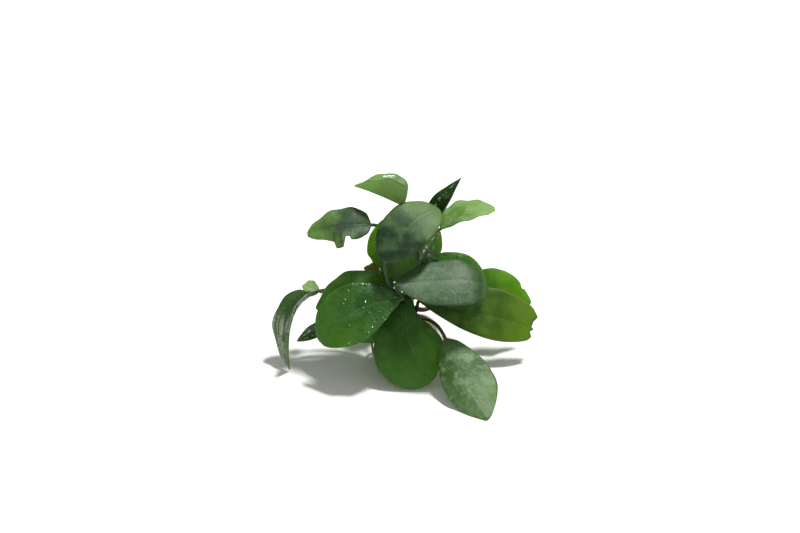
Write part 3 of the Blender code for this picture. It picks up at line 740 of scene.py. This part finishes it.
def stonePaint():
    paint = Paint("stone_rough")
    place = paint.objectPlace()
    broad = paint.noise(place, 120, 4)
    grain = paint.noise(place, 1100, 5, 0.65)
    pores = paint.cells(place, 420)
    speck = paint.cells(place, 900)
    stops = (
        (0.25, (0.075, 0.068, 0.058)), (0.5, (0.17, 0.155, 0.13)), (0.78, (0.30, 0.275, 0.235)))
    colour = paint.node("ShaderNodeValToRGB", {"stops": stops}, {0: grain})
    colour = paint.mix(paint.span(broad, 0.4, 0.7, 0, 0.5), colour, (0.13, 0.11, 0.085))
    colour = paint.mix(paint.span(speck, 0.16, 0.08, 0, 0.6), colour, (0.38, 0.36, 0.32))
    colour = paint.mix(paint.span(broad + grain * 0.4, 0.75, 0.95, 0, 0.45), colour, (0.05, 0.085, 0.025))
    pit = paint.span(pores, 0.25, 0.1)
    colour = paint.mix(pit * 0.6, colour, (0.04, 0.036, 0.03))
    normal = paint.bump(grain * 0.7 - pit, 0.0004)
    return paint.finish(paint.node("ShaderNodeBsdfPrincipled", {}, {
        "Base Color": colour, "Roughness": paint.span(grain, 0.3, 0.7, 0.6, 0.9), "Normal": normal}))


handOver(makeStone(), stonePaint(), "stone", "stone")
print("stone done")


# the roots: where each leaves the rhizome, along it from 0 to 1, the side of the stone that
# it runs down in degrees from +X towards +Y, its turn, its radius and its reach on the floor

roots = dict(
    root_left=dict(along=0.02, side=188, turn=-6, radius=0.65, reach=1.5),
    root_left_front=dict(along=0.24, side=240, turn=6, radius=0.75, reach=3.0),
    root_front=dict(along=0.38, side=264, turn=6, radius=0.7, reach=0.8),
    root_right_front=dict(along=0.5, side=305, turn=-10, radius=0.8, reach=1.0),
    root_right=dict(along=0.52, side=352, turn=12, radius=0.6, reach=1.0),
    root_right_back=dict(along=0.46, side=30, turn=-5, radius=0.75, reach=5.0),
    root_back=dict(along=0.32, side=95, turn=6, radius=0.7, reach=6.0),
    root_left_back=dict(along=0.06, side=136, turn=12, radius=0.75, reach=4.0),
)
rootSkin = dict(
    gap=0.35, bumpRoom=0.4, floorRoom=0.15,   # room left to the rhizome, the stone and the floor
    splay=0.8, dip=0.62, taper=0.45, lump=0.1,
    shares=(0.22, 0.45, 0.68, 0.86, 1),       # where the route is pinned to the stone
    around=20, along=120,
)


def rootRoute(values):
    centre, way, radius = rhizomeAt(values["along"])
    lift = values["radius"] + rootSkin["gap"] + rootSkin["bumpRoom"]
    side = math.radians(values["side"])
    outward = Vector((math.cos(side), math.sin(side), 0))
    below = outward * rootSkin["splay"] - Vector((0, 0, 1))
    below = (below - way * below.dot(way)).normalized()
    start = centre + below * (radius + rootSkin["gap"] + values["radius"] * 0.5)
    middle = Vector((0, 0, stone["size"][2] * stone["sink"]))
    begin = (start - middle).normalized()
    end = (outward - Vector((0, 0, rootSkin["dip"]))).normalized()
    sideways = Vector((-math.sin(side), math.cos(side), 0))
    points = [start]
    for share in rootSkin["shares"]:
        wander = sideways * math.sin(share * math.pi) * math.radians(values["turn"])
        place = stonePoint((begin.lerp(end, share) + wander).normalized())
        place += (place - middle).normalized() * lift
        place.z = max(place.z, values["radius"] + rootSkin["floorRoom"])
        points.append(place)
    points.append(points[-1] + outward * values["reach"])
    return points, sideways


def makeRoot(name, values, seed):
    points, sideways = rootRoute(values)

    def place(turn, t):
        centre = through(points, t)
        ahead = (through(points, min(t + 0.02, 1)) - through(points, max(t - 0.02, 0))).normalized()
        up = ahead.cross(sideways).normalized()
        across = up.cross(ahead)
        angle = 2 * math.pi * turn
        lump = rootSkin["lump"] * ripple(t * 22, math.sin(angle), seed)
        radius = values["radius"] * (1 - rootSkin["taper"] * t) * (0.96 + lump)
        radius *= math.sqrt(max(0.02, 1 - max(0, (abs(t - 0.5) - 0.48) / 0.02) ** 2))
        return centre + (across * math.cos(angle) + up * math.sin(angle)) * radius

    return wrapGrid(name, rootSkin["around"], rootSkin["along"], place)


def rootPaint():
    paint = Paint("root_bark")
    place = paint.objectPlace()
    turn, t = paint.skinPlace()
    streak = paint.noise(place, 700, 4)
    broad = paint.noise(place, 150, 2)
    colour = paint.mix(paint.span(streak, 0.35, 0.7), (0.17, 0.12, 0.05), (0.34, 0.28, 0.15))
    colour = paint.mix(paint.span(broad, 0.4, 0.7, 0, 0.6), colour, (0.20, 0.22, 0.07))
    colour = paint.mix(paint.span(t, 0.9, 1.0), colour, (0.36, 0.38, 0.16))
    normal = paint.bump(streak, 0.0002)
    return paint.finish(paint.node("ShaderNodeBsdfPrincipled", {}, {
        "Base Color": colour, "Roughness": 0.45 + streak * 0.25, "Normal": normal}))


rootFinish = rootPaint()
for seed, (name, values) in enumerate(roots.items()):
    handOver(makeRoot(name + "_fine", values, seed), rootFinish, "root", name)
print("roots done:", len(roots))


# the floor, the light and the camera

studio = dict(
    floorSize=6.0, floorColour=(0.92, 0.92, 0.91), floorLight=(0.94, 0.94, 0.935),
    worldStrength=0.37, worldColour=(1.0, 1.0, 0.97),
    sunWay=(0.28, 0.28, 1.0), sunStrength=4.0, sunAngle=9.0,
    target=(-1.7, 0.0, 46.9), distance=803.0, elevation=30.0, lens=85.0, sensor=36.0)

deselectAll()
bpy.ops.mesh.primitive_plane_add(size=studio["floorSize"], location=(0, 0, 0))
floor = bpy.context.active_object
floor.name = "floor"
floorPaint = Paint("floor_white")
tint = floorPaint.mix(
    floorPaint.noise(floorPaint.objectPlace(), 3, 1), studio["floorColour"], studio["floorLight"])
floor.data.materials.append(floorPaint.finish(floorPaint.node(
    "ShaderNodeBsdfPrincipled", {}, {"Base Color": tint, "Roughness": 0.7, "Specular IOR Level": 0.2})))

world = bpy.data.worlds.new("studio")
world.use_nodes = True
background = world.node_tree.nodes["Background"]
background.inputs["Color"].default_value = (*studio["worldColour"], 1)
background.inputs["Strength"].default_value = studio["worldStrength"]
bpy.context.scene.world = world

bpy.ops.object.light_add(type="SUN")
sun = bpy.context.active_object
sun.name = "lamp"
sun.data.energy = studio["sunStrength"]
sun.data.angle = math.radians(studio["sunAngle"])
sun.rotation_mode = "QUATERNION"
sun.rotation_quaternion = Vector(studio["sunWay"]).to_track_quat("Z", "Y")

deselectAll()
target = Vector(studio["target"]) * mm
lift = math.radians(studio["elevation"])
bpy.ops.object.camera_add()
camera = bpy.context.active_object
camera.location = target + Vector((0, -math.cos(lift), math.sin(lift))) * studio["distance"] * mm
camera.rotation_mode = "QUATERNION"
camera.rotation_quaternion = (target - camera.location).to_track_quat("-Z", "Y")
camera.data.lens = studio["lens"]
camera.data.sensor_width = studio["sensor"]
camera.data.clip_start = 0.01
camera.data.clip_end = 20
bpy.context.scene.camera = camera
bpy.context.scene.view_settings.view_transform = "Standard"
deselectAll()
print("studio done")
